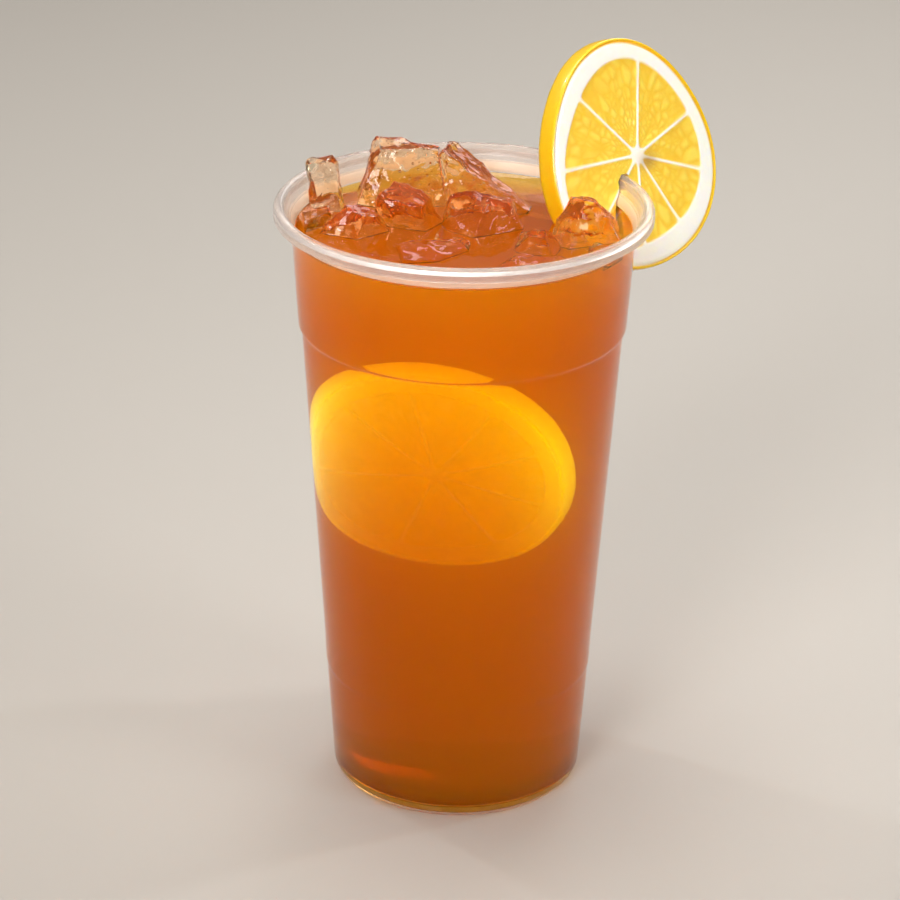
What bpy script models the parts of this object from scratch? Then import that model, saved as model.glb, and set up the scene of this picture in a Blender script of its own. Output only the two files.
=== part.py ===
"""Iced lemon tea in a clear takeaway cup, with chunky ice and a lemon wheel on the rim.

Lengths are in millimetres until they reach a mesh, which is in metres. The cup's axis is the
vertical axis while the shapes are made, and its foot stands at height zero. At the end one
empty moves everything, so that the origin is under the middle of the whole thing.
"""
import math
import random

import bmesh
import bpy
from mathutils import Matrix, Vector

MM = 0.001

# Driving dimensions
RIM_RADIUS = 45.0  # the mouth of a standard 90 mm cup
RIM_TOP = 149.3
FOOT_RADIUS = 29.2
WALL_LOW = (30.9, 3.0)  # radius and height where the straight wall starts
WALL_SLOPE = 8.6 / 131  # how much wider the wall gets for each millimetre up
WALL_THICKNESS = 0.9
FOOT_WIDTH = 2.6  # of the ring that the cup stands on
RECESS_HEIGHT = 2.0  # of the hollow under the floor
CORNER_RADIUS = 2.0  # between the inner floor and the wall
CORNER_HEIGHT = 4.0  # where the wall's radius is read for that corner
LOW_STEP = 29.7  # height of the faint lower ring
HIGH_STEP = 119.0  # height of the stacking shoulder
HIGH_STEP_OUT = 0.7  # how far the wall steps out there
LOW_STEP_OUT = 0.15  # the lower ring is a step of a hair's breadth
FLARE_START = 143.3  # where the wall turns out to the rim
BEAD_RADIUS = 1.4  # of the rim's rounded top
BEAD_DROP = 1.5  # from the rim's top down to the middle of the bead
TEA_LEVEL = 142.0
GAP = 0.3  # free space that touching pieces keep
TURN_STEPS = 64  # facets round the cup

# The lemon wheel: its front face, which looks at the viewer, to the right and a little up
WHEEL_CENTRE = Vector((41.1, 24.8, 153.3))
WHEEL_FACING = math.radians(-44.5)  # direction of the face, from +X towards +Y
WHEEL_LIFT = math.radians(20.4)  # how far the face looks up
WHEEL_RADIUS = 28.1
WHEEL_SAG = 0.6  # the wheel is this much larger below its middle
WHEEL_LOBES = 0.85  # depth of its three flat sides
WHEEL_THICKNESS = 5.4
WHEEL_EDGE = 0.5  # rounding of the peel's edges
WHEEL_STEPS = 72

# Each chunk of ice: middle, size, turn about the vertical, lean towards the viewer and to the
# right, narrowing at the top, seed
ICE = {
    "ice_1": ((-14.4, 23.2, 145.2), (26, 15, 25), 3, (-7, 6), 0.52, 3),
    "ice_2": ((-33.4, 15.5, 145.8), (8, 5, 20), -14, (4, -6), 0.85, 11),
    "ice_3": ((1.0, 20.0, 142.2), (28, 16, 17), -8, (-4, 33), 0.85, 5),
    "ice_4": ((29.5, -5.0, 139.6), (25, 17, 26), 24, (4, 2), 0.26, 8),
    "ice_5": ((-25.5, -1.0, 138.5), (24, 14, 18), 40, (10, 8), 0.40, 14),
    "ice_6": ((-13.0, 6.5, 139.5), (25, 15, 20), -26, (14, 10), 0.42, 2),
    "ice_7": ((4.5, 3.8, 139.0), (26, 19, 20), 24, (-12, 12), 0.46, 21),
    "ice_8": ((-6.0, -14.5, 135.0), (28, 17, 16.4), 8, (6, 2), 0.66, 9),
    "ice_9": ((16.0, -24.0, 135.5), (26, 13, 16), 26, (-4, 5), 0.62, 17),
    "ice_10": ((-20.5, -20.0, 135.5), (18, 12, 15), -38, (6, 0), 0.62, 30),
    "ice_11": ((32.5, -16.5, 136.5), (12, 14, 17), 30, (4, -4), 0.55, 26),
    "ice_12": ((-34.0, 3.5, 138.5), (11, 15, 14), 6, (0, -6), 0.60, 40),
    "ice_13": ((17.0, -10.5, 139.0), (17, 13, 16), -16, (9, -10), 0.45, 33),
}
ICE_CHIPS = 9  # flat chips knocked off each chunk
CHIP_REACH = (0.70, 0.93)  # how near the middle a chip may cut, as a share of the chunk's reach
FLOOR_UNDER_ICE = 124.0  # no ice reaches lower
ICE_REACH = 39.3  # how far from the axis the ice may reach at the tea's level
ICE_REACH_SLOPE = 0.2  # and how much further for each millimetre up

# Colours, roughness and transmission
CLEAR_PLASTIC = ((0.90, 0.88, 0.87), 0.12, 0.9)
TEA_AMBER = ((0.62, 0.17, 0.01), 0.05, 0.4)
ICE_CLEAR = ((0.93, 0.80, 0.66), 0.08, 0.8)
LEMON_YELLOW = ((0.92, 0.62, 0.06), 0.35, 0.0)


def material(name, look):
    """A plain Principled material from a colour, a roughness and a transmission."""
    colour, roughness, transmission = look
    made = bpy.data.materials.new(name)
    made.use_nodes = True
    shader = made.node_tree.nodes["Principled BSDF"]
    shader.inputs["Base Color"].default_value = (*colour, 1.0)
    shader.inputs["Roughness"].default_value = roughness
    shader.inputs["Metallic"].default_value = 0.0
    shader.inputs["Transmission Weight"].default_value = transmission
    made.diffuse_color = (*colour, 1.0)
    return made


def add_object(name, bm, look=None, sharp=math.radians(30)):
    """Puts a bmesh made in millimetres into the scene as one object in metres."""
    bmesh.ops.scale(bm, vec=(MM, MM, MM), verts=bm.verts)
    bmesh.ops.recalc_face_normals(bm, faces=bm.faces)
    mesh = bpy.data.meshes.new(name)
    bm.to_mesh(mesh)
    bm.free()
    mesh.shade_smooth()
    mesh.set_sharp_from_angle(angle=sharp)
    for polygon in mesh.polygons:
        polygon.use_smooth = len(polygon.vertices) <= 4
    made = bpy.data.objects.new(name, mesh)
    bpy.context.collection.objects.link(made)
    if look:
        mesh.materials.append(material(name, look))
    else:
        made.hide_render = True
        made.display_type = "WIRE"
    return made


def turned(profile):
    """A body turned about the vertical axis from an outline of (radius, height) points."""
    bm = bmesh.new()
    points = [bm.verts.new((radius, 0.0, height)) for radius, height in profile]
    edges = [bm.edges.new(pair) for pair in zip(points, points[1:])]
    if profile[0][0] > 0:
        edges.append(bm.edges.new((points[-1], points[0])))
    bmesh.ops.spin(bm, geom=points + edges, cent=(0, 0, 0), axis=(0, 0, 1), angle=math.tau,
                   steps=TURN_STEPS, use_merge=True)
    bmesh.ops.remove_doubles(bm, verts=bm.verts, dist=0.001)
    return bm


def arc(centre, radius, start, end, steps):
    """Points on an arc in the outline's plane, with its angles in degrees."""
    angles = (math.radians(start + (end - start) * i / steps) for i in range(steps + 1))
    return [(centre[0] + radius * math.cos(a), centre[1] + radius * math.sin(a)) for a in angles]


def wall_radius(height):
    """Outer radius of the wall, with the step out at the stacking shoulder."""
    radius = WALL_LOW[0] + WALL_SLOPE * (height - WALL_LOW[1])
    return radius + (HIGH_STEP_OUT if height > HIGH_STEP else 0.0)


def wall_heights():
    """Heights of the wall's outline, from low to high, with its two rings."""
    return [WALL_LOW[1], LOW_STEP - 0.5, LOW_STEP + 0.5, HIGH_STEP - 0.4, HIGH_STEP + 0.6, FLARE_START]


def wall_outline(inward):
    """The wall's points from low to high, moved inward by a wall's thickness or a gap."""
    ring = {LOW_STEP + 0.5: LOW_STEP_OUT}
    return [(wall_radius(z) + ring.get(z, 0.0) - inward, z) for z in wall_heights()]


def floor_corner(inward):
    """The round corner between floor and wall, from the floor up, moved inward like the wall."""
    radius = wall_radius(CORNER_HEIGHT) - inward - CORNER_RADIUS
    return arc((radius, RECESS_HEIGHT + inward + CORNER_RADIUS), CORNER_RADIUS, -90, 0, 4)


def cup_outline():
    """Outline of the cup: under the floor, up the outside, over the rim and down the inside."""
    recess_radius = FOOT_RADIUS - FOOT_WIDTH
    inner_wall = wall_outline(WALL_THICKNESS)[1:]
    bead = RIM_TOP - BEAD_DROP
    under_floor = [(0, RECESS_HEIGHT), (recess_radius - 0.8, RECESS_HEIGHT), (recess_radius, 0.6)]
    foot = [(recess_radius + 0.4, 0.0), (FOOT_RADIUS, 0.0)]
    foot += arc((FOOT_RADIUS - 1.3, WALL_LOW[1]), 3.0, -52, -12, 3)
    outside = wall_outline(0.0)
    flare = [(wall_radius(FLARE_START) + 0.5, FLARE_START + 1.4), (RIM_RADIUS - 2.6, FLARE_START + 3.3),
             (RIM_RADIUS - 1.9, bead + 0.1), (RIM_RADIUS - 0.9, bead - 0.3)]
    skirt = [(RIM_RADIUS - 0.8, RIM_TOP - 3.3), (RIM_RADIUS - 0.2, RIM_TOP - 3.3),
             (RIM_RADIUS, RIM_TOP - 2.9)]
    top = arc((RIM_RADIUS - BEAD_RADIUS, bead), BEAD_RADIUS, 8, 180, 6)
    top = [(radius, bead + (height - bead) * BEAD_DROP / BEAD_RADIUS) for radius, height in top]
    inside = [(RIM_RADIUS - 3.3, FLARE_START + 3.4), (wall_radius(FLARE_START) - 0.5, FLARE_START + 1.2)]
    corner = floor_corner(WALL_THICKNESS)[::-1]
    return (under_floor + foot + outside + flare + skirt + top + inside + inner_wall[::-1]
            + corner + [(0, RECESS_HEIGHT + WALL_THICKNESS)])


def cup_shadow_outline():
    """A closed outline round the wall and the rim, a gap wider all round, to cut what hangs there."""
    outer = [(wall_radius(z) + GAP, z) for z in (100.0, FLARE_START)]
    flare = [(RIM_RADIUS - 2.4, FLARE_START + 2.4), (RIM_RADIUS - 1.1, RIM_TOP - 3.6)]
    rim = [(RIM_RADIUS + GAP, RIM_TOP - 3.6), (RIM_RADIUS + GAP, RIM_TOP - 0.6),
           (RIM_RADIUS - 0.6, RIM_TOP + GAP), (RIM_RADIUS - 2.4, RIM_TOP + GAP),
           (RIM_RADIUS - 3.6, RIM_TOP - 1.0), (RIM_RADIUS - 3.7, FLARE_START + 3.4)]
    inner = [(wall_radius(z) - WALL_THICKNESS - GAP, z) for z in (FLARE_START + 0.9, 100.0)]
    return outer + flare + rim + inner


def tea_outline():
    """Outline of the tea: flat on top, and a gap inside the cup everywhere."""
    inward = WALL_THICKNESS + GAP
    wall = [(radius, z) for radius, z in wall_outline(inward)[1:] if z < TEA_LEVEL]
    top = wall_radius(TEA_LEVEL) - inward
    return [(0, RECESS_HEIGHT + inward)] + floor_corner(inward) + wall + [(top, TEA_LEVEL), (0, TEA_LEVEL)]


def wheel_axes():
    """The wheel's directions: to its right, up along its face, and out of its face."""
    facing = Vector((math.cos(WHEEL_LIFT) * math.cos(WHEEL_FACING),
                     math.cos(WHEEL_LIFT) * math.sin(WHEEL_FACING), math.sin(WHEEL_LIFT)))
    right = Vector((-math.sin(WHEEL_FACING), math.cos(WHEEL_FACING), 0.0))
    return right, facing.cross(right), facing


def wheel(grow=0.0, edge=WHEEL_EDGE):
    """The lemon wheel as a disc of slightly uneven outline with rounded edges."""
    right, up, facing = wheel_axes()
    half = WHEEL_THICKNESS / 2 + grow
    middle = WHEEL_CENTRE - facing * WHEEL_THICKNESS / 2
    layers = [(-half, edge), (-half + edge, 0.0), (half - edge, 0.0), (half, edge)]
    bm = bmesh.new()
    rings = []
    for out, inset in layers:
        ring = []
        for i in range(WHEEL_STEPS):
            angle = math.tau * i / WHEEL_STEPS
            uneven = -WHEEL_SAG * math.sin(angle) - WHEEL_LOBES * math.sin(3 * angle)
            radius = WHEEL_RADIUS + uneven + grow - inset
            place = right * math.cos(angle) * radius + up * math.sin(angle) * radius
            ring.append(bm.verts.new(middle + place + facing * out))
        rings.append(ring)
    for low, high in zip(rings, rings[1:]):
        for i in range(WHEEL_STEPS):
            j = (i + 1) % WHEEL_STEPS
            bm.faces.new((low[i], low[j], high[j], high[i]))
    bm.faces.new(rings[0][::-1])
    bm.faces.new(rings[-1])
    return bm


def close_hull(bm):
    """Turns the points of a body into their convex hull, with whole flat faces."""
    bmesh.ops.delete(bm, geom=bm.edges[:], context="EDGES_FACES")
    bmesh.ops.remove_doubles(bm, verts=bm.verts, dist=0.02)
    hull = bmesh.ops.convex_hull(bm, input=bm.verts)
    left_over = hull["geom_interior"] + hull["geom_unused"]
    spare = {item for item in left_over if isinstance(item, bmesh.types.BMVert)}
    bmesh.ops.delete(bm, geom=list(spare), context="VERTS")
    bmesh.ops.dissolve_limit(bm, angle_limit=math.radians(0.5), verts=bm.verts, edges=bm.edges)
    bmesh.ops.recalc_face_normals(bm, faces=bm.faces)


def cut_flat(bm, point, normal):
    """Cuts a convex body flat: what lies beyond the plane goes, and the cut is closed."""
    whole = bm.verts[:] + bm.edges[:] + bm.faces[:]
    bmesh.ops.bisect_plane(bm, geom=whole, dist=1e-4, plane_co=point, plane_no=normal, clear_outer=True)
    close_hull(bm)


def reach(bm, direction):
    """How far a body reaches along a direction."""
    return max(vert.co.dot(direction) for vert in bm.verts)


def ice_chunk(middle, size, turn, lean, narrow, seed):
    """A block that narrows upward, with flat chips off it, turned and leant into place."""
    draw = random.Random(seed)
    bm = bmesh.new()
    bmesh.ops.create_cube(bm, size=1.0)
    for vert in bm.verts:
        share = narrow + draw.uniform(-0.12, 0.12) if vert.co.z > 0 else 1.0
        across, deep, high = size[0] * share, size[1] * share, size[2]
        vert.co = Vector((vert.co.x * across, vert.co.y * deep, vert.co.z * high))
    close_hull(bm)
    for _ in range(ICE_CHIPS):
        way = Vector([draw.gauss(0, 1) for _ in range(3)]).normalized()
        cut_flat(bm, way * reach(bm, way) * draw.uniform(*CHIP_REACH), way)
    pose = (Matrix.Translation(middle) @ Matrix.Rotation(math.radians(turn), 4, "Z")
            @ Matrix.Rotation(math.radians(lean[1]), 4, "Y") @ Matrix.Rotation(math.radians(lean[0]), 4, "X"))
    bm.transform(pose)
    cut_flat(bm, Vector((0, 0, FLOOR_UNDER_ICE)), Vector((0, 0, -1)))
    return bm


def keep_clear(bm, planes):
    """Cuts a convex body so that it stays a gap beyond one of another body's faces."""
    def clearance(plane):
        point, normal = plane
        return min(vert.co.dot(normal) for vert in bm.verts) - point.dot(normal)

    point, normal = max(planes, key=clearance)
    if clearance((point, normal)) < GAP:
        cut_flat(bm, point + normal * GAP, -normal)


def face_planes(bm):
    """A point and the outward direction of each face."""
    bm.normal_update()
    return [(face.calc_center_median(), face.normal.copy()) for face in bm.faces]


def grown(planes):
    """A convex body a gap larger all round than the one with these faces."""
    bm = bmesh.new()
    bmesh.ops.create_cube(bm, size=400.0)
    for point, normal in planes:
        cut_flat(bm, point + normal * GAP, normal)
    return bm


def make_ice():
    """Cuts every chunk clear of the wheel, the cup's wall and the chunks before it."""
    _, _, facing = wheel_axes()
    wheel_front = [(WHEEL_CENTRE, facing)]
    wheel_back = [(WHEEL_CENTRE - facing * WHEEL_THICKNESS, -facing)]
    done = {}
    for name, row in ICE.items():
        bm = ice_chunk(Vector(row[0]), *row[1:])
        keep_clear(bm, wheel_front + wheel_back)
        for planes in done.values():
            keep_clear(bm, planes)
        for step in range(TURN_STEPS):
            angle = math.tau * step / TURN_STEPS
            way = Vector((math.cos(angle), math.sin(angle), 0.0))
            limit = way * ICE_REACH + Vector((0, 0, TEA_LEVEL))
            slanted = (way - Vector((0, 0, ICE_REACH_SLOPE))).normalized()
            if reach(bm, slanted) > limit.dot(slanted):
                cut_flat(bm, limit, slanted)
        done[name] = face_planes(bm)
        add_object(name, bm, ICE_CLEAR, sharp=math.radians(5))
    return done


def subtract(target, cutter):
    """Cuts one object with another by a Boolean modifier."""
    cut = target.modifiers.new(cutter.name, "BOOLEAN")
    cut.operation = "DIFFERENCE"
    cut.solver = "EXACT"
    cut.object = cutter


def settle_origin():
    """Hangs everything on one empty that puts the origin under the middle of the whole."""
    bpy.context.view_layer.update()
    shown = [item for item in bpy.data.objects if not item.hide_render]
    corners = [item.matrix_world @ vert.co for item in shown for vert in item.data.vertices]
    middle = [(min(c[i] for c in corners) + max(c[i] for c in corners)) / 2 for i in range(2)]
    empty = bpy.data.objects.new("drink_origin", None)
    bpy.context.collection.objects.link(empty)
    for item in bpy.data.objects:
        if item is not empty:
            item.parent = empty
    empty.location = (-middle[0], -middle[1], 0.0)


def main():
    for item in list(bpy.data.objects):
        bpy.data.objects.remove(item)
    add_object("cup", turned(cup_outline()), CLEAR_PLASTIC)
    lemon = add_object("lemon_slice", wheel(), LEMON_YELLOW)
    subtract(lemon, add_object("slit_cutter", turned(cup_shadow_outline())))
    tea = add_object("tea", turned(tea_outline()), TEA_AMBER)
    subtract(tea, add_object("wheel_cutter", wheel(grow=GAP, edge=0.1)))
    for name, planes in make_ice().items():
        subtract(tea, add_object(name + "_cutter", grown(planes)))
    settle_origin()


main()
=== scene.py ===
"""Looks of an iced lemon tea: clear cup, cloudy amber tea, wet ice and two lemon slices.

Lengths are written in millimetres from the cup's axis and the table, as in the model's source,
and MM turns them into metres. AXIS moves them from the cup's axis into the frame.
"""
import math
import random

import bmesh
import bpy
import numpy as np
from mathutils import Matrix, Vector, noise


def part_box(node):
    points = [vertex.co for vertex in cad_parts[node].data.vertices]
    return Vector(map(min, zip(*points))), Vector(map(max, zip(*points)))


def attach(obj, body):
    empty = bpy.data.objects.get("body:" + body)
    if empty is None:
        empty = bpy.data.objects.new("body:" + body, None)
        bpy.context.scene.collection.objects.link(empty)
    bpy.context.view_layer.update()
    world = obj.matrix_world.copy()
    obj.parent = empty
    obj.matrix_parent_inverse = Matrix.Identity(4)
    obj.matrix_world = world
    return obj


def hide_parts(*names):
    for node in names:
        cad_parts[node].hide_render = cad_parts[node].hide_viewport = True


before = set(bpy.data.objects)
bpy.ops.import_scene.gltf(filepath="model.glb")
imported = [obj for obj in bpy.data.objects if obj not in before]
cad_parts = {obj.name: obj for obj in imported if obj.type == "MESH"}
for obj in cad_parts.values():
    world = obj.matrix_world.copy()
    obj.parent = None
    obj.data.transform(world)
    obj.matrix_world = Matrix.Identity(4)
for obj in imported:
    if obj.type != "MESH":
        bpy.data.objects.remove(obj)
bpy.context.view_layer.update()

MM = 0.001
CUP_LOW, CUP_HIGH = (Vector(corner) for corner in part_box("cup"))
AXIS = Vector(((CUP_LOW.x + CUP_HIGH.x) / 2, (CUP_LOW.y + CUP_HIGH.y) / 2, 0.0))
RIM_RADIUS = (CUP_HIGH.x - CUP_LOW.x) / 2 / MM
RIM_TOP = CUP_HIGH.z / MM
TEA_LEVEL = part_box("tea")[1][2] / MM

# The cup's wall, as in the model
FOOT_RADIUS = 29.2
WALL_LOW = (30.9, 3.0)
WALL_SLOPE = 8.6 / 131
WALL_THICKNESS = 0.9
LOW_STEP = 29.7
LOW_STEP_OUT = 0.15
LOW_STEP_FADE = 8.0  # height over which the low ring fades into the wall
HIGH_STEP = 119.0
HIGH_STEP_OUT = 0.7
FLARE_START = 143.3
HAZE_START = FLARE_START - 0.8
MILK_START = RIM_TOP - 3.6
TURN_STEPS = 160
FLOOR_TOP = 2.9  # top of the cup's own floor
GAP = 0.3  # free space between the slit's sides and the cup
TEA_BITE = 0.4  # how far the tea reaches into the wall, so that no air shows between them
MENISCUS = 1.3  # how high the tea climbs the wall

# The lemon wheel on the rim
WHEEL_CENTRE = Vector((41.1, 24.8, 153.3))
WHEEL_FACING = math.radians(-44.5)
WHEEL_LIFT = math.radians(20.4)
WHEEL_RADIUS = 28.1
WHEEL_THICKNESS = 5.4

# The slice sunk in the tea
SUNK_CENTRE = Vector((-5.9, -13.2, 89.1))
SUNK_FACING = math.radians(-103.9)
SUNK_LIFT = math.radians(-19.3)
SUNK_RADIUS = 29.4
SUNK_THICKNESS = 6.0

# The camera, fitted to the photograph
FOCAL_PIXELS = 3300.0
PICTURE_SIDE = 900
CAMERA_TARGET = Vector((-2.57, 0.0, 85.3))
CAMERA_DISTANCE = 803.0
CAMERA_LIFT = math.radians(24.1)
CAMERA_ROLL = math.radians(0.77)


def place(point):
    """A point in millimetres from the cup's axis, as metres in the frame."""
    return Vector(point) * MM + AXIS


def finish_piece(piece, slot, *nodes):
    """Hangs a piece on the only body and hides the model's nodes that it stands for. Its slot is not used.
    """
    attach(piece, "root")
    if nodes:
        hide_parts(*nodes)


def new_object(name, mesh, material):
    """An object with one material, linked into the scene."""
    made = bpy.data.objects.new(name, mesh)
    bpy.context.collection.objects.link(made)
    mesh.materials.append(material)
    return made


def object_from_bmesh(name, bm, material, sharp=30):
    """One object from a bmesh in millimetres from the cup's axis."""
    for vert in bm.verts:
        vert.co = place(vert.co)
    mesh = bpy.data.meshes.new(name)
    bm.to_mesh(mesh)
    bm.free()
    mesh.shade_smooth()
    mesh.set_sharp_from_angle(angle=math.radians(sharp))
    return new_object(name, mesh, material)


# Materials

def new_material(name, **values):
    """A Principled material, and its tree, shader and output."""
    material = bpy.data.materials.new(name)
    material.use_nodes = True
    tree = material.node_tree
    shader = tree.nodes["Principled BSDF"]
    for key, value in values.items():
        socket = shader.inputs[key.replace("_", " ")]
        socket.default_value = (*value, 1.0) if socket.type == "RGBA" else value
    return material, tree, shader, tree.nodes["Material Output"]


def node(tree, kind, **settings):
    """A node with its properties set."""
    made = tree.nodes.new(kind)
    for key, value in settings.items():
        setattr(made, key, value)
    return made


def noise_texture(tree, scale, detail=3.0, roughness=0.5, stretch=(1, 1, 1)):
    """Noise over the object's own coordinates, scale in features for each metre."""
    where = node(tree, "ShaderNodeTexCoord")
    mapping = node(tree, "ShaderNodeMapping")
    mapping.inputs["Scale"].default_value = stretch
    tree.links.new(where.outputs["Object"], mapping.inputs["Vector"])
    made = node(tree, "ShaderNodeTexNoise")
    made.inputs["Scale"].default_value = scale
    made.inputs["Detail"].default_value = detail
    made.inputs["Roughness"].default_value = roughness
    tree.links.new(mapping.outputs["Vector"], made.inputs["Vector"])
    return made


def bump(tree, shader, height, distance, strength=1.0):
    """Bumps a shader by a height socket, distance in metres."""
    made = node(tree, "ShaderNodeBump")
    made.inputs["Distance"].default_value = distance
    made.inputs["Strength"].default_value = strength
    tree.links.new(height, made.inputs["Height"])
    tree.links.new(made.outputs["Normal"], shader.inputs["Normal"])


def let_lamps_through(tree, shader, output, tint):
    """Shadow rays pass the surface, tinted, so that lamps light what is behind it."""
    path = node(tree, "ShaderNodeLightPath")
    clear = node(tree, "ShaderNodeBsdfTransparent")
    if isinstance(tint, tuple):
        clear.inputs["Color"].default_value = (*tint, 1.0)
    else:
        tree.links.new(tint, clear.inputs["Color"])
    mix = node(tree, "ShaderNodeMixShader")
    tree.links.new(path.outputs["Is Shadow Ray"], mix.inputs["Fac"])
    tree.links.new(shader.outputs["BSDF"], mix.inputs[1])
    tree.links.new(clear.outputs["BSDF"], mix.inputs[2])
    tree.links.new(mix.outputs["Shader"], output.inputs["Surface"])


def blend(tree, factor, low, high):
    """A colour between two, each a colour or a socket."""
    mix = node(tree, "ShaderNodeMix", data_type="RGBA")
    tree.links.new(factor, mix.inputs["Factor"])
    for key, value in (("A", low), ("B", high)):
        socket = next(s for s in mix.inputs if s.name == key and s.type == "RGBA")
        if isinstance(value, tuple):
            socket.default_value = (*value, 1.0)
        else:
            tree.links.new(value, socket)
    return next(s for s in mix.outputs if s.type == "RGBA")


CUP_GLINT = (0.25, 0.25, 0.25)  # weak mirror images, as in the photograph
CUP_IOR = 1.40  # between plastic and tea, as one surface stands for both
CUP_SHADE = (0.93, 0.92, 0.91)  # share of the lamps' light that gets through each of its sides


def cup_material(name, ior, roughness, clear=1.0, colour=(0.98, 0.965, 0.955)):
    """Polypropylene: clear with a faint haze in the wall, milky where it is thick."""
    material, tree, shader, output = new_material(
        name, Base_Color=colour, Roughness=roughness, IOR=ior, Transmission_Weight=clear,
        Specular_Tint=CUP_GLINT)
    waves = noise_texture(tree, 90, 2.0, 0.5, (1, 1, 0.35))
    bump(tree, shader, waves.outputs["Fac"], 0.0002, 0.35)
    let_lamps_through(tree, shader, output, CUP_SHADE)
    return material


TEA_IOR = 1.33
TEA_TINT = (0.98, 0.64, 0.20)
TEA_SCATTER = (1.0, 0.85, 0.05)
TEA_DENSITY = 42.0
TEA_ABSORB_COLOUR = (0.978, 0.875, 0.0)
TEA_ABSORB_DENSITY = 380.0
TEA_TOP_SHADE = (0.34, 0.29, 0.17)  # share of the lamps' light that gets down past the floating ice


def tea_material():
    """Cloudy amber tea: a wet surface over a body that scatters and absorbs."""
    material, tree, shader, output = new_material(
        "amber_tea", Base_Color=TEA_TINT, Roughness=0.0, IOR=TEA_IOR, Transmission_Weight=1.0)
    open_top = node(tree, "ShaderNodeAttribute", attribute_name="open_top")
    bending = node(tree, "ShaderNodeMapRange")
    bending.inputs["To Min"].default_value = 1.0
    bending.inputs["To Max"].default_value = TEA_IOR
    tree.links.new(open_top.outputs["Fac"], bending.inputs["Value"])
    tree.links.new(bending.outputs["Result"], shader.inputs["IOR"])
    ripples = noise_texture(tree, 110, 2.0, 0.5)
    bump(tree, shader, ripples.outputs["Fac"], 0.0003, 0.25)
    shade = blend(tree, open_top.outputs["Fac"], (1.0, 1.0, 1.0), TEA_TOP_SHADE)
    let_lamps_through(tree, shader, output, shade)
    absorb = node(tree, "ShaderNodeVolumeAbsorption")
    absorb.inputs["Color"].default_value = (*TEA_ABSORB_COLOUR, 1.0)
    absorb.inputs["Density"].default_value = TEA_ABSORB_DENSITY
    scatter = node(tree, "ShaderNodeVolumeScatter")
    scatter.inputs["Color"].default_value = (*TEA_SCATTER, 1.0)
    scatter.inputs["Density"].default_value = TEA_DENSITY
    scatter.inputs["Anisotropy"].default_value = 0.0
    both = node(tree, "ShaderNodeAddShader")
    tree.links.new(absorb.outputs["Volume"], both.inputs[0])
    tree.links.new(scatter.outputs["Volume"], both.inputs[1])
    tree.links.new(both.outputs["Shader"], output.inputs["Volume"])
    return material


ICE_TINT = (1.0, 0.90, 0.76)  # amber, partly the tea that wets the ice and partly painted light for the tea's light seen through the ice
ICE_IOR = 1.31
ICE_SHADE = (0.66, 0.60, 0.52)  # share of the lamps' light that gets through each of its sides
# The amber that the ice absorbs is painted light. It stands for the tea's light seen through ice that is
# really clear
ICE_ABSORB_COLOUR = (1.0, 0.78, 0.42)
ICE_ABSORB_DENSITY = 70.0


def ice_material():
    """Wet clear ice, tinted amber partly by the tea on it and partly by painted light from the tea."""
    material, tree, shader, output = new_material(
        "wet_ice", Base_Color=ICE_TINT, Roughness=0.02, IOR=ICE_IOR, Transmission_Weight=1.0)
    dents = noise_texture(tree, 320, 3.0, 0.6)
    bump(tree, shader, dents.outputs["Fac"], 0.0003, 0.4)
    let_lamps_through(tree, shader, output, ICE_SHADE)
    absorb = node(tree, "ShaderNodeVolumeAbsorption")
    absorb.inputs["Color"].default_value = (*ICE_ABSORB_COLOUR, 1.0)
    absorb.inputs["Density"].default_value = ICE_ABSORB_DENSITY
    tree.links.new(absorb.outputs["Volume"], output.inputs["Volume"])
    return material


WHEEL_COLOURS = {"flesh": (0.88, 0.51, 0.02), "patch": (0.95, 0.65, 0.06), "cell": (0.97, 0.73, 0.10),
                 "pith": (1.0, 0.97, 0.86), "peel": (0.86, 0.50, 0.004), "stain": (0.42, 0.22, 0.06)}
# The sunk slice's colours are lighter and greener than the wheel's. This is painted light that makes up for
# the green light the tea takes from the slice
SUNK_PAINTED_LIGHT_COLOURS = {"flesh": (0.76, 0.72, 0.14), "patch": (0.82, 0.80, 0.26), "cell": (0.85, 0.84, 0.34),
                "pith": (0.92, 0.95, 0.86), "peel": (0.95, 0.94, 0.10), "stain": (0.60, 0.50, 0.12)}


# The lit tea round the sunk slice sends light through it, which a little glow stands for
SUNK_GLOW = (0.70, 1.0, 0.03)
SUNK_GLOW_STRENGTH = 0.84


def lemon_material(name, colours, softness, glow=(0.0, 0.0, 0.0), glow_strength=0.0):
    """Lemon, coloured by masks that the mesh carries: peel, pith, flesh and membranes."""
    material, tree, shader, _ = new_material(
        name, Roughness=0.32, IOR=1.40, Subsurface_Weight=softness, Subsurface_Scale=0.003,
        Coat_Weight=0.5, Coat_Roughness=0.08, Emission_Color=glow, Emission_Strength=glow_strength)
    shader.inputs["Subsurface Radius"].default_value = (1.0, 0.75, 0.3)
    masks = node(tree, "ShaderNodeAttribute", attribute_name="masks")
    split = node(tree, "ShaderNodeSeparateColor")
    tree.links.new(masks.outputs["Color"], split.inputs["Color"])

    patches = noise_texture(tree, 260, 3.0, 0.55)
    flesh = blend(tree, patches.outputs["Fac"], colours["flesh"], colours["patch"])
    flesh = blend(tree, masks.outputs["Alpha"], flesh, colours["cell"])
    skin = blend(tree, split.outputs["Green"], colours["pith"], flesh)
    peel = blend(tree, split.outputs["Red"], skin, colours["peel"])
    final = blend(tree, split.outputs["Blue"], peel, colours["stain"])
    tree.links.new(final, shader.inputs["Base Color"])
    pores = noise_texture(tree, 900, 2.0, 0.5)
    bump(tree, shader, pores.outputs["Fac"], 0.0002, 0.35)
    return material


# The cup

def arc(centre, radius, start, end, steps):
    """Points on an arc in an outline's plane, with its angles in degrees."""
    angles = (math.radians(start + (end - start) * i / steps) for i in range(steps + 1))
    return [(centre[0] + radius * math.cos(a), centre[1] + radius * math.sin(a)) for a in angles]


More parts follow.
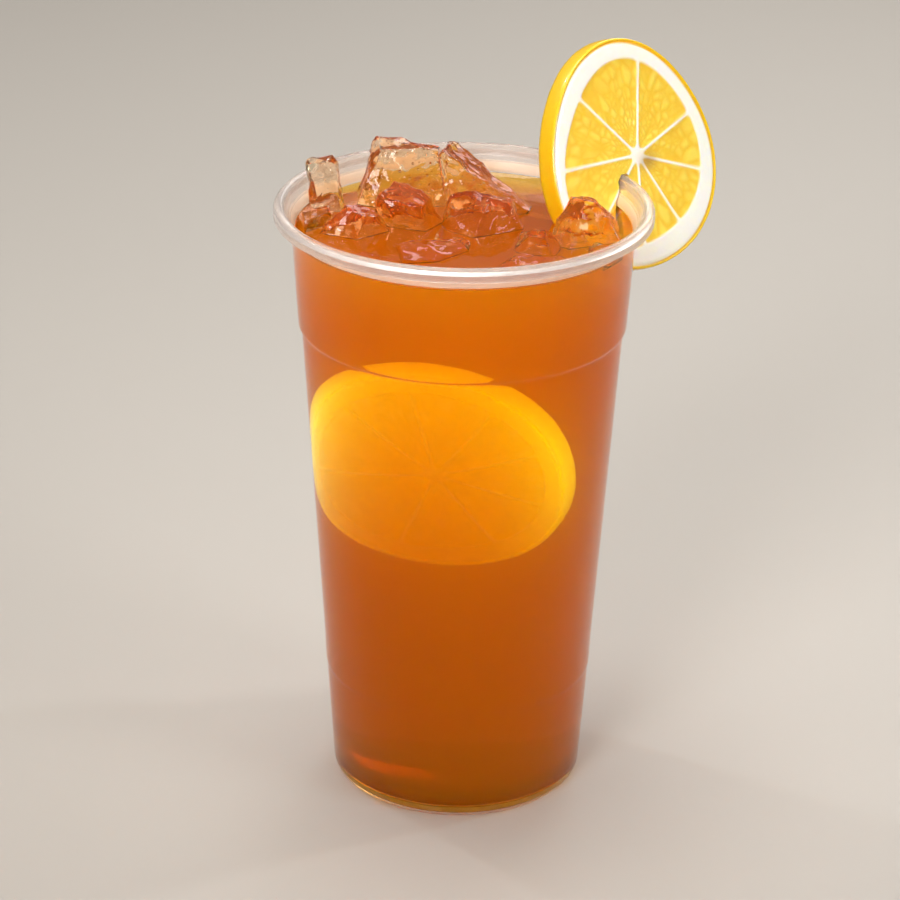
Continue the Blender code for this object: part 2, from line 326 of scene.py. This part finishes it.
def turned(profile, steps=TURN_STEPS):
    """A body turned about the cup's axis from (radius, height) points."""
    bm = bmesh.new()
    points = [bm.verts.new((radius, 0.0, height)) for radius, height in profile]
    edges = [bm.edges.new(pair) for pair in zip(points, points[1:])]
    bmesh.ops.spin(bm, geom=points + edges, cent=(0, 0, 0), axis=(0, 0, 1), angle=math.tau,
                   steps=steps, use_merge=True)
    bmesh.ops.remove_doubles(bm, verts=bm.verts, dist=0.001)
    bmesh.ops.recalc_face_normals(bm, faces=bm.faces)
    return bm


def part_way(height, start, length):
    """How far a height has gone through a stretch, from 0 to 1."""
    return min(max((height - start) / length, 0.0), 1.0)


def wall_radius(height):
    """Outer radius of the wall, with the step out at the stacking shoulder."""
    radius = WALL_LOW[0] + WALL_SLOPE * (height - WALL_LOW[1])
    step = part_way(height, HIGH_STEP - 0.4, 1.0)
    ring = part_way(height, LOW_STEP - 0.5, 1.0) - part_way(height, LOW_STEP + 0.5, LOW_STEP_FADE)
    return radius + HIGH_STEP_OUT * step * step * (3 - 2 * step) + LOW_STEP_OUT * ring


def wall_heights():
    """Heights for a smooth wall, closer together at its two rings."""
    near_low = [LOW_STEP + d for d in (-1.0, -0.5, -0.2, 0.1, 0.5, 1.0, 4.0, 8.5)]
    near_high = [HIGH_STEP + d for d in (-1.2, -0.4, -0.15, 0.1, 0.35, 0.6, 1.4)]
    return [WALL_LOW[1], 12.0] + near_low + [60.0, 80.0, 100.0] + near_high + [130.0, FLARE_START]


def cup_outline():
    """Outline of the cup: under the floor, up the outside, over the rim and down the inside."""
    recess_radius = FOOT_RADIUS - 2.6
    bead = RIM_TOP - 1.5
    under_floor = [(0, 2.0), (recess_radius - 0.8, 2.0), (recess_radius - 0.2, 1.4), (recess_radius, 0.6)]
    foot = [(recess_radius + 0.4, 0.0), (FOOT_RADIUS, 0.0)]
    foot += arc((FOOT_RADIUS - 1.3, 3.0), 3.0, -52, -12, 5)
    outside = [(wall_radius(z), z) for z in wall_heights()]
    flare = [(wall_radius(FLARE_START) + 0.5, FLARE_START + 1.4), (RIM_RADIUS - 3.3, FLARE_START + 2.4),
             (RIM_RADIUS - 2.6, FLARE_START + 3.3), (RIM_RADIUS - 1.9, bead + 0.1),
             (RIM_RADIUS - 0.9, bead - 0.3)]
    skirt = [(RIM_RADIUS - 0.8, RIM_TOP - 3.2), (RIM_RADIUS - 0.5, RIM_TOP - 3.3),
             (RIM_RADIUS - 0.1, RIM_TOP - 3.15), (RIM_RADIUS, RIM_TOP - 2.8)]
    top = arc((RIM_RADIUS - 1.4, bead), 1.4, 8, 180, 12)
    top = [(radius, bead + (height - bead) * 1.5 / 1.4) for radius, height in top]
    inside = [(RIM_RADIUS - 3.3, FLARE_START + 3.4), (RIM_RADIUS - 4.1, FLARE_START + 2.2),
              (wall_radius(FLARE_START) - 0.5, FLARE_START + 1.2)]
    inner_wall = [(wall_radius(z) - WALL_THICKNESS, z) for z in wall_heights()[1:]]
    corner = arc((wall_radius(4.0) - WALL_THICKNESS - 2.0, FLOOR_TOP + 2.0), 2.0, 0, -90, 6)
    return (under_floor + foot + outside + flare + skirt + top + inside + inner_wall[::-1]
            + corner + [(0, FLOOR_TOP)])


def paint_faces(piece, material, chosen):
    """Gives the faces that a test picks, by middle and normal in millimetres, one more material."""
    piece.data.materials.append(material)
    for polygon in piece.data.polygons:
        middle = (polygon.center - AXIS) / MM
        if chosen(middle, polygon.normal):
            polygon.material_index = len(piece.data.materials) - 1


def make_cup():
    """The clear cup, one turned wall from the foot ring to the rolled rim."""
    cup = object_from_bmesh("clear_cup", turned(cup_outline()),
                            cup_material("clear_polypropylene", CUP_IOR, 0.04), sharp=50)

    def wetted(middle, normal):
        inward = normal.x * middle.x + normal.y * middle.y < 0
        inner_wall = inward and FLOOR_TOP < middle.z < TEA_LEVEL - 0.5
        return inner_wall or (normal.z > 0.5 and middle.z < FLOOR_TOP + 2.5)

    wet = cup_material("wetted_polypropylene", ior=1.0, roughness=0.0)
    hazy = cup_material("hazy_polypropylene", CUP_IOR, roughness=0.30, clear=0.62,
                        colour=(0.90, 0.74, 0.60))
    milky = cup_material("milky_polypropylene", ior=1.45, roughness=0.22, clear=0.88,
                         colour=(0.86, 0.775, 0.72))
    paint_faces(cup, wet, wetted)
    paint_faces(cup, hazy, lambda middle, normal: middle.z > HAZE_START)
    paint_faces(cup, milky, lambda middle, normal: middle.z > MILK_START)
    finish_piece(cup, "clear_cup", "cup")


# The tea

def tea_outline():
    """Outline of the tea, which reaches into the wall and climbs it a little at the top."""
    inward = WALL_THICKNESS - TEA_BITE
    floor = FLOOR_TOP - TEA_BITE
    corner = arc((wall_radius(4.0) - inward - 2.0, floor + 2.0), 2.0, -90, 0, 6)
    wall = [(wall_radius(z) - inward, z) for z in wall_heights()[1:] if z < TEA_LEVEL - 1]
    edge = wall_radius(TEA_LEVEL) - inward
    climb = [(edge + 0.05, TEA_LEVEL + MENISCUS - 0.5)]
    for step in range(9):
        away = step / 8 * 5.0
        climb.append((edge - 0.45 - away, TEA_LEVEL - 0.15 + MENISCUS * math.exp(-away / 1.3)))
    flat = [(radius, TEA_LEVEL) for radius in (30.0, 24.0, 18.0, 12.0, 6.0, 0.0)]
    return [(0, floor)] + corner + wall + climb + flat


def make_tea():
    """The tea, one closed body. Where it wets the wall, light passes as if wall and tea were one."""
    tea = object_from_bmesh("amber_tea_body", turned(tea_outline()), tea_material(), sharp=70)
    open_top = tea.data.attributes.new("open_top", "FLOAT", "FACE")
    for polygon, value in zip(tea.data.polygons, open_top.data):
        value.value = 1.0 if polygon.normal.z > 0.4 else 0.0
    finish_piece(tea, "tea", "tea")


# The lemon slices

MEMBRANES = (16, 71, 131, 176, 218, 258, 296, 338)  # directions of the membranes, in degrees
CORE = (1.0, -0.5)  # the membranes meet a little off the middle
CORE_RADIUS = 1.8
FACE_RINGS = 74
RIM_RINGS = 9
SLICE_STEPS = 288


def smooth(low, high, value):
    """Smoothstep over an array."""
    t = np.clip((value - low) / (high - low), 0, 1)
    return t * t * (3 - 2 * t)


def pulp_cells(radius, angle, seed, around=46, outward=4.6):
    """How deep each point lies in its juice cell, for cells drawn out along the radius."""
    draw = np.random.default_rng(seed)
    reach = 2.9 * outward
    seeds = draw.uniform((0, 0), (around, reach), (int(around * reach * 1.15), 2))
    here = np.stack([angle / math.tau * around, np.log(np.maximum(radius, 1.6) / 1.6) * outward], -1)
    first = np.full(len(here), 9.0)
    second = np.full(len(here), 9.0)
    for point in seeds:
        across = np.abs(here[:, 0] - point[0])
        across = np.minimum(across, around - across)
        away = np.hypot(across, here[:, 1] - point[1])
        nearer = away < first
        second = np.where(nearer, first, np.minimum(second, away))
        first = np.where(nearer, away, first)
    return np.clip((second - first) * 1.6, 0, 1)


def peel_radius(angle, lobes):
    """Outer radius of a slice of the wheel's size: larger below and with three flatter sides."""
    return WHEEL_RADIUS - lobes * (0.6 * np.sin(angle) + 0.85 * np.sin(3 * angle))


def pith_radius(angle, lobes):
    """Radius where the pith meets the yellow peel."""
    return 26.85 - lobes * (0.6 * np.cos(angle) + 0.7 * np.sin(angle) + 0.83 * np.sin(3 * angle))


def flesh_radius(angle, lobes):
    """Radius where the flesh ends, uneven because the pith is."""
    slow = 0.9 * np.cos(angle) + 0.35 * np.sin(angle) - 0.64 * np.cos(2 * angle)
    fast = 1.18 * np.sin(3 * angle) - 0.93 * np.sin(2 * angle)
    return 23.07 - lobes * (slow + fast)


def lemon_face(x, y, lobes, seed):
    """Relief in millimetres and the masks (peel, flesh, stain, cells) at points of a face."""
    radius, angle = np.hypot(x, y), np.arctan2(y, x) % math.tau
    from_core, core_angle = np.hypot(x - CORE[0], y - CORE[1]), np.arctan2(y - CORE[1], x - CORE[0])
    turned_angle = core_angle - seed * 0.7
    walls = np.radians(np.array(MEMBRANES, float))
    apart = np.min(np.abs((turned_angle[:, None] - walls[None, :] + math.pi) % math.tau - math.pi), axis=1)
    to_wall = from_core * np.sin(np.minimum(apart, math.pi / 2)) - 0.22
    limits = (to_wall, flesh_radius(angle, lobes) - radius, from_core - CORE_RADIUS)
    depth = -np.log(sum(np.exp(-np.clip(limit, -5, 12) * 2.2) for limit in limits)) / 2.2
    flesh = smooth(-0.15, 0.35, depth)
    edge = pith_radius(angle, lobes)
    peel = smooth(edge - 0.15, edge + 0.25, radius)
    cells = pulp_cells(radius, angle, seed)
    relief = 0.14 * flesh * cells - 0.22 * flesh - 0.10 * smooth(0.0, 2.0, depth)
    stain = 0.7 * np.exp(-((x - 4.2) / 3.2) ** 2 - ((y + 2.6) / 2.0) ** 2)
    return relief, np.stack([peel, flesh, stain, cells * flesh], -1)


def slice_axes(facing_angle, lift):
    """A slice's directions: to its right, up along its face, and out of its face."""
    east, north = math.cos(facing_angle), math.sin(facing_angle)
    facing = Vector((math.cos(lift) * east, math.cos(lift) * north, math.sin(lift)))
    right = Vector((-north, east, 0.0))
    return right, facing.cross(right), facing


def lemon_slice(name, centre, axes, size, thickness, lobes, seed, material):
    """A slice of lemon as one closed mesh, with relief on both faces and masks for its colours."""
    right, up, facing = axes
    middle = centre - facing * thickness / 2
    scale = size / WHEEL_RADIUS
    angle = np.arange(SLICE_STEPS) * math.tau / SLICE_STEPS
    outer = peel_radius(angle, lobes)
    face_shares = np.concatenate([np.linspace(0.03, 0.80, FACE_RINGS - 14), np.linspace(0.81, 0.975, 14)])
    rows = []

    def add_row(radius, height):
        x, y = radius * np.cos(angle), radius * np.sin(angle)
        rows.append(np.stack([x, y, height], -1))

    def add_face(side, shares):
        for share in shares:
            radius = outer * share
            relief, _ = lemon_face(radius * np.cos(angle), radius * np.sin(angle), lobes, seed)
            fall = 0.5 * smooth(0.93, 1.0, np.full(SLICE_STEPS, share))
            add_row(radius, side * (thickness / 2 / scale + relief - fall))

    add_face(1, face_shares)
    for turn in np.radians(np.linspace(90, -90, RIM_RINGS)):
        pores = 0.06 * np.sin(angle * 61 + turn * 57) * np.sin(angle * 37 - turn * 17)
        width = outer * (0.975 + 0.025 * max(math.cos(turn), 0.0) ** 0.5)
        add_row(width + pores, np.full(SLICE_STEPS, thickness / 2 / scale * math.sin(turn)))
    add_face(-1, face_shares[::-1])
    points = np.concatenate(rows) * scale
    frame_points = points @ np.array([right, up, facing])
    last = (len(rows) - 1) * SLICE_STEPS
    faces = [tuple(range(SLICE_STEPS))[::-1], tuple(range(last, last + SLICE_STEPS))]
    for base in range(0, last, SLICE_STEPS):
        ring = [(base + i, base + (i + 1) % SLICE_STEPS) for i in range(SLICE_STEPS)]
        faces += [(i, j, j + SLICE_STEPS, i + SLICE_STEPS) for i, j in ring]
    mesh = bpy.data.meshes.new(name)
    mesh.from_pydata([place(p) for p in frame_points + np.array(middle)], [], faces)
    bm = bmesh.new()
    bm.from_mesh(mesh)
    bmesh.ops.recalc_face_normals(bm, faces=bm.faces)
    bm.to_mesh(mesh)
    bm.free()
    mesh.shade_smooth()
    return new_object(name, mesh, material)


def paint_lemon(piece, centre, axes, size, lobes, seed):
    """Gives every point of a slice its masks, from where it lies in the slice's plane."""
    mesh = piece.data
    places = np.empty(len(mesh.vertices) * 3)
    mesh.vertices.foreach_get("co", places)
    local = (places.reshape(-1, 3) - np.array(place(centre))) / MM * WHEEL_RADIUS / size
    masks = lemon_face(local @ np.array(axes[0]), local @ np.array(axes[1]), lobes, seed)[1]
    colours = mesh.color_attributes.new("masks", "FLOAT_COLOR", "POINT")
    colours.data.foreach_set("color", masks.astype(np.float32).ravel())


def cup_shadow_outline():
    """A closed outline round the wall and the rim, a gap wider all round, to cut the slit."""
    outer = [(wall_radius(z) + GAP, z) for z in (100.0, FLARE_START)]
    flare = [(RIM_RADIUS - 2.4, FLARE_START + 2.4), (RIM_RADIUS - 1.1, RIM_TOP - 3.6)]
    rim = [(RIM_RADIUS + GAP, RIM_TOP - 3.6), (RIM_RADIUS + GAP, RIM_TOP - 0.6),
           (RIM_RADIUS - 0.6, RIM_TOP + GAP), (RIM_RADIUS - 2.4, RIM_TOP + GAP),
           (RIM_RADIUS - 3.6, RIM_TOP - 1.0), (RIM_RADIUS - 3.7, FLARE_START + 3.4)]
    inner = [(wall_radius(z) - WALL_THICKNESS - GAP, z) for z in (FLARE_START + 0.9, 100.0)]
    points = outer + flare + rim + inner
    return points + points[:1]


def cut_slit(piece):
    """Cuts the slit where the cup's wall runs through the wheel."""
    cutter = object_from_bmesh("slit_cutter", turned(cup_shadow_outline()), piece.data.materials[0])
    cut = piece.modifiers.new("slit", "BOOLEAN")
    cut.operation = "DIFFERENCE"
    cut.solver = "EXACT"
    cut.object = cutter
    shape = piece.evaluated_get(bpy.context.evaluated_depsgraph_get())
    cut_mesh = bpy.data.meshes.new_from_object(shape)
    piece.modifiers.clear()
    piece.data = cut_mesh
    bpy.data.objects.remove(cutter)


def make_lemons():
    """The wheel on the rim, slit where the cup's wall runs through it, and the sunk slice."""
    axes = slice_axes(WHEEL_FACING, WHEEL_LIFT)
    wheel = lemon_slice("lemon_wheel", WHEEL_CENTRE, axes, WHEEL_RADIUS, WHEEL_THICKNESS, 1.0, 0,
                        lemon_material("lemon", WHEEL_COLOURS, 0.7))
    cut_slit(wheel)
    paint_lemon(wheel, WHEEL_CENTRE, axes, WHEEL_RADIUS, 1.0, 0)
    finish_piece(wheel, "lemon", "lemon_slice")
    axes = slice_axes(SUNK_FACING, SUNK_LIFT)
    sunk = lemon_slice("sunk_lemon_slice", SUNK_CENTRE, axes, SUNK_RADIUS, SUNK_THICKNESS, 0.4, 3,
                       lemon_material("sunk_lemon", SUNK_PAINTED_LIGHT_COLOURS, 0.0, SUNK_GLOW, SUNK_GLOW_STRENGTH))
    paint_lemon(sunk, SUNK_CENTRE, axes, SUNK_RADIUS, 0.4, 3)
    finish_piece(sunk, "lemon")


# The ice

ICE_CAP = 0.35  # how far under the tea's surface each chunk is cut off
ICE_EDGE = 0.3  # width of the melted edges
ICE_GRAIN = 1.1  # edges longer than this are split
ICE_SPLITS = 4
LARGE_BOWLS = (7.0, 0.9)  # width and depth of the hollows in the ice
SMALL_BOWLS = (2.6, 0.28)
BOWLS_BEGIN = 1.2  # height over the tea at which the hollows have their full depth
DROPS = {"wet_ice_1": 150, "wet_ice_3": 40, "wet_ice_4": 40, "wet_ice_2": 14, "wet_ice_6": 24,
         "wet_ice_7": 24}


def cut_at_tea(bm):
    """Cuts a body off just under the tea's surface and closes the cut."""
    geometry = bm.verts[:] + bm.edges[:] + bm.faces[:]
    bmesh.ops.bisect_plane(bm, geom=geometry, dist=1e-4, plane_co=(0, 0, TEA_LEVEL - ICE_CAP),
                           plane_no=(0, 0, -1), clear_outer=True)
    bmesh.ops.holes_fill(bm, edges=[edge for edge in bm.edges if edge.is_boundary])


def scallop(spot, size, depth):
    """Height of shallow bowls with sharp ridges between them, as broken ice has."""
    nearest = noise.voronoi(spot / size)[0][0]
    return depth * (min(nearest, 0.9) ** 2 / 0.5 - 0.5)


def melt(bm):
    """Rounds a flat-sided chunk's edges and breaks its faces into shallow bowls, as melting does."""
    bmesh.ops.bevel(bm, geom=bm.edges[:], offset=ICE_EDGE, segments=2, profile=0.6,
                    affect="EDGES", clamp_overlap=True)
    bmesh.ops.remove_doubles(bm, verts=bm.verts, dist=0.02)
    bmesh.ops.dissolve_degenerate(bm, dist=0.02, edges=bm.edges)
    bmesh.ops.triangulate(bm, faces=bm.faces)
    for _ in range(ICE_SPLITS):
        long_edges = [edge for edge in bm.edges if edge.calc_length() > ICE_GRAIN]
        bmesh.ops.subdivide_edges(bm, edges=long_edges, cuts=1)
        bmesh.ops.triangulate(bm, faces=bm.faces)
    bm.normal_update()
    moves = []
    for vert in bm.verts:
        spot = vert.co
        wave = scallop(spot, *LARGE_BOWLS) + scallop(spot + Vector((9, 4, 2)), *SMALL_BOWLS)
        wave += noise.noise(spot * 0.13) * 0.5 - 0.1
        moves.append(vert.normal * wave * part_way(spot.z, TEA_LEVEL, BOWLS_BEGIN))
    for vert, move in zip(bm.verts, moves):
        vert.co += move
    bmesh.ops.recalc_face_normals(bm, faces=bm.faces)


def chunk_from_node(source):
    """A bmesh of the model's own chunk, in millimetres from the cup's axis, with whole flat faces."""
    bm = bmesh.new()
    bm.from_mesh(source.data)
    for vert in bm.verts:
        vert.co = (source.matrix_world @ vert.co - AXIS) / MM
    bmesh.ops.remove_doubles(bm, verts=bm.verts, dist=0.001)
    bmesh.ops.dissolve_limit(bm, angle_limit=math.radians(1), verts=bm.verts, edges=bm.edges)
    return bm


def scatter_drops(chunks, material):
    """Beads of melt water and small bubbles that sit in the skin of the larger chunks."""
    draw = random.Random(12)
    bead = bmesh.new()
    for chunk in chunks:
        mesh = chunk.data
        dry = [p for p in mesh.polygons if p.center.z / MM > TEA_LEVEL + 1.0 and p.normal.z > -0.2]
        for polygon in draw.choices(dry, weights=[p.area for p in dry], k=DROPS.get(chunk.name, 0)):
            radius = draw.uniform(0.14, 0.42) * draw.uniform(0.6, 1.0)
            spot = (polygon.center - AXIS) / MM - polygon.normal * radius * draw.uniform(-0.2, 1.4)
            bmesh.ops.create_icosphere(bead, subdivisions=2, radius=radius, matrix=Matrix.Translation(spot))
    drops = object_from_bmesh("melt_drops", bead, material, sharp=80)
    finish_piece(drops, "ice")


def make_ice():
    """One refined chunk for each of the model's, with beads of water on them."""
    material = ice_material()
    chunks = []
    for name, source in sorted(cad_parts.items()):
        if name.startswith("ice_"):
            bm = chunk_from_node(source)
            cut_at_tea(bm)
            melt(bm)
            chunk = object_from_bmesh("wet_" + name, bm, material, sharp=24)
            finish_piece(chunk, "ice", name)
            chunks.append(chunk)
    scatter_drops(chunks, material)


# Camera, floor and light

CUP_MIDDLE = (0.0, 0.0, 0.09)  # in metres
FLOOR_RADIUS = 4.0  # in metres
FLOOR_COLOUR = (0.50, 0.465, 0.42)
HORIZON_LIGHT = 0.10
OVERHEAD_LIGHT = 0.55
MOST_BOUNCES = 11  # enough for cup, tea and ice behind each other


def make_camera():
    """The photograph's viewpoint."""
    data = bpy.data.cameras.new("camera")
    data.sensor_width = 36.0
    data.lens = data.sensor_width * FOCAL_PIXELS / PICTURE_SIDE
    data.clip_start = 0.01
    camera = bpy.data.objects.new("camera", data)
    bpy.context.collection.objects.link(camera)
    back = Vector((0.0, -math.cos(CAMERA_LIFT), math.sin(CAMERA_LIFT)))
    level_right = Vector((1.0, 0.0, 0.0))
    level_up = back.cross(level_right)
    right = math.cos(CAMERA_ROLL) * level_right + math.sin(CAMERA_ROLL) * level_up
    up = math.cos(CAMERA_ROLL) * level_up - math.sin(CAMERA_ROLL) * level_right
    turn = Matrix((right, up, back)).transposed().to_4x4()
    camera.matrix_world = Matrix.Translation(place(CAMERA_TARGET + CAMERA_DISTANCE * back)) @ turn
    bpy.context.scene.camera = camera


def area_light(name, power, size, position, aim=CUP_MIDDLE, spread=180):
    """A square lamp at a place, looking at a point, in metres."""
    data = bpy.data.lights.new(name, "AREA")
    data.energy = power
    data.size = size
    data.spread = math.radians(spread)
    lamp = bpy.data.objects.new(name, data)
    bpy.context.collection.objects.link(lamp)
    lamp.location = position
    lamp.rotation_euler = (Vector(aim) - lamp.location).to_track_quat("-Z", "Y").to_euler()
    lamp.visible_camera = False


def make_sky():
    """A warm white surround, dim at the horizon and brighter overhead."""
    world = bpy.data.worlds.new("studio")
    bpy.context.scene.world = world
    world.use_nodes = True
    tree = world.node_tree
    background = tree.nodes["Background"]
    background.inputs["Color"].default_value = (1.0, 0.95, 0.89, 1.0)
    direction = node(tree, "ShaderNodeTexCoord")
    split = node(tree, "ShaderNodeSeparateXYZ")
    tree.links.new(direction.outputs["Generated"], split.inputs["Vector"])
    rise = node(tree, "ShaderNodeMapRange")
    limits = {"From Min": 0.1, "From Max": 0.7, "To Min": HORIZON_LIGHT, "To Max": OVERHEAD_LIGHT}
    for key, value in limits.items():
        rise.inputs[key].default_value = value
    tree.links.new(split.outputs["Z"], rise.inputs["Value"])
    tree.links.new(rise.outputs["Result"], background.inputs["Strength"])


def make_studio():
    """A pale floor and soft lamps above, in front, to the right and behind."""
    bm = bmesh.new()
    bmesh.ops.create_circle(bm, cap_ends=True, segments=96, radius=FLOOR_RADIUS)
    mesh = bpy.data.meshes.new("floor")
    bm.to_mesh(mesh)
    bm.free()
    material = new_material("pale_floor", Base_Color=FLOOR_COLOUR, Roughness=0.6)[0]
    new_object("floor", mesh, material)
    rim = (0.0, 0.0, RIM_TOP * MM)
    area_light("top", power=3.8, size=0.40, position=(-0.10, 0.10, 1.0))
    area_light("front", power=0.21, size=0.20, position=(-0.20, -0.46, 0.42), aim=rim, spread=48)
    area_light("right", power=0.13, size=0.20, position=(0.50, -0.30, 0.42), aim=rim, spread=60)
    area_light("back", power=1.6, size=0.40, position=(0.25, 0.75, 0.55))
    area_light("glint_left", power=0.8, size=0.03, position=(-0.45, 0.35, 0.70))
    area_light("glint_right", power=0.8, size=0.03, position=(0.40, 0.10, 0.75))
    bpy.context.scene.view_settings.view_transform = "Standard"


def set_ray_limits():
    """Limits on light paths, so that the picture takes a few minutes."""
    cycles = bpy.context.scene.cycles
    cycles.use_adaptive_sampling = True
    cycles.adaptive_threshold = 0.1
    cycles.volume_bounces = 4
    cycles.diffuse_bounces = 3
    cycles.max_bounces = MOST_BOUNCES
    cycles.transmission_bounces = MOST_BOUNCES


make_camera()
make_sky()
make_studio()
set_ray_limits()
make_cup()
make_tea()
make_lemons()
make_ice()
